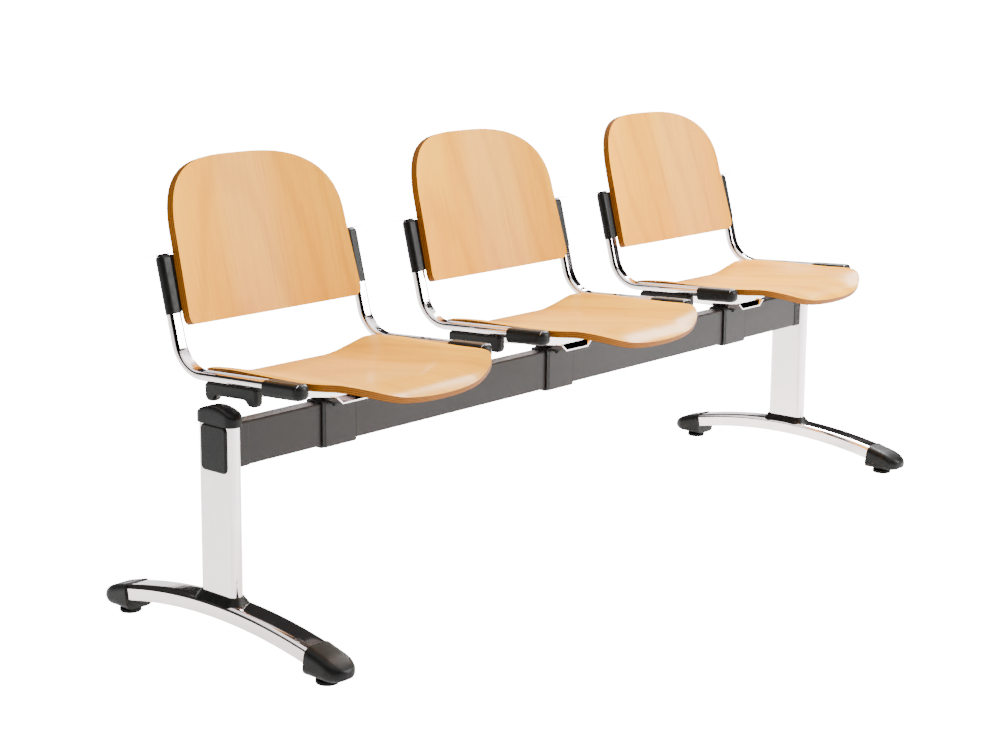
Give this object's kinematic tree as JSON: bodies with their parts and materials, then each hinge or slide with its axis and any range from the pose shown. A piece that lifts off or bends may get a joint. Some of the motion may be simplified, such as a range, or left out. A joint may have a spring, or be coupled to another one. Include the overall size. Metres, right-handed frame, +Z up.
{
  "type": "beam seating",
  "caption": "Waiting-area beam seating: moulded plywood seats and backs on bent tube frames, clamped to one steel beam between two columns with arched feet and levelling glides.",
  "frame": {"origin": "centre of the footprint, on the floor", "axes": "+X along the beam, -Y towards the front of the seats, +Z up"},
  "size_m": [1.691, 0.554, 0.7442],
  "materials": {
    "chrome": "polished",
    "black_plastic": "satin, finely textured",
    "black_rubber": "matt",
    "beam_paint": "satin powder coat",
    "beech": "clear satin lacquer"
  },
  "bodies": {
    "bench": {"leg_left_column": "chrome", "leg_left_column_cap": "black_plastic", "leg_left_bolt_cover": "black_plastic", "leg_left_foot_bar": "chrome", "leg_left_column_collar": "black_plastic", "leg_left_toe_cap_front": "black_plastic", "leg_left_toe_cap_rear": "black_plastic", "beam_end_collar_left": "beam_paint", "leg_right_column": "chrome", "leg_right_column_cap": "black_plastic", "leg_right_bolt_cover": "black_plastic", "leg_right_foot_bar": "chrome", "leg_right_column_collar": "black_plastic", "leg_right_toe_cap_front": "black_plastic", "leg_right_toe_cap_rear": "black_plastic", "beam_end_collar_right": "black_plastic", "beam_tube": "beam_paint", "chair_1_seat": "beech", "chair_1_backrest": "beech", "chair_1_carrier": "chrome", "chair_1_beam_clamp": "beam_paint", "chair_1_side_tube_left": "chrome", "chair_1_rail_cap_left": "black_plastic", "chair_1_saddle_left": "black_plastic", "chair_1_back_sleeve_left": "black_plastic", "chair_1_side_tube_right": "chrome", "chair_1_rail_cap_right": "black_plastic", "chair_1_saddle_right": "black_plastic", "chair_1_back_sleeve_right": "black_plastic", "chair_2_seat": "beech", "chair_2_backrest": "beech", "chair_2_carrier": "chrome", "chair_2_beam_clamp": "beam_paint", "chair_2_side_tube_left": "chrome", "chair_2_rail_cap_left": "black_plastic", "chair_2_saddle_left": "black_plastic", "chair_2_back_sleeve_left": "black_plastic", "chair_2_side_tube_right": "chrome", "chair_2_rail_cap_right": "black_plastic", "chair_2_saddle_right": "black_plastic", "chair_2_back_sleeve_right": "black_plastic", "chair_3_seat": "beech", "chair_3_backrest": "beech", "chair_3_carrier": "chrome", "chair_3_beam_clamp": "beam_paint", "chair_3_side_tube_left": "chrome", "chair_3_rail_cap_left": "black_plastic", "chair_3_saddle_left": "black_plastic", "chair_3_back_sleeve_left": "black_plastic", "chair_3_side_tube_right": "chrome", "chair_3_rail_cap_right": "black_plastic", "chair_3_saddle_right": "black_plastic", "chair_3_back_sleeve_right": "black_plastic"},
    "glide_left_front": {"leg_left_glide_front": "black_rubber"},
    "glide_left_rear": {"leg_left_glide_rear": "black_rubber"},
    "glide_right_front": {"leg_right_glide_front": "black_rubber"},
    "glide_right_rear": {"leg_right_glide_rear": "black_rubber"}
  },
  "joints": [
    {"name": "glide_left_front_screw", "type": "slide", "parent": "bench", "child": "glide_left_front", "axis": [0, 0, -1], "range_m": [0, 0.01]},
    {"name": "glide_left_rear_screw", "type": "slide", "parent": "bench", "child": "glide_left_rear", "axis": [0, 0, -1], "range_m": [0, 0.01]},
    {"name": "glide_right_front_screw", "type": "slide", "parent": "bench", "child": "glide_right_front", "axis": [0, 0, -1], "range_m": [0, 0.01]},
    {"name": "glide_right_rear_screw", "type": "slide", "parent": "bench", "child": "glide_right_rear", "axis": [0, 0, -1], "range_m": [0, 0.01]}
  ]
}
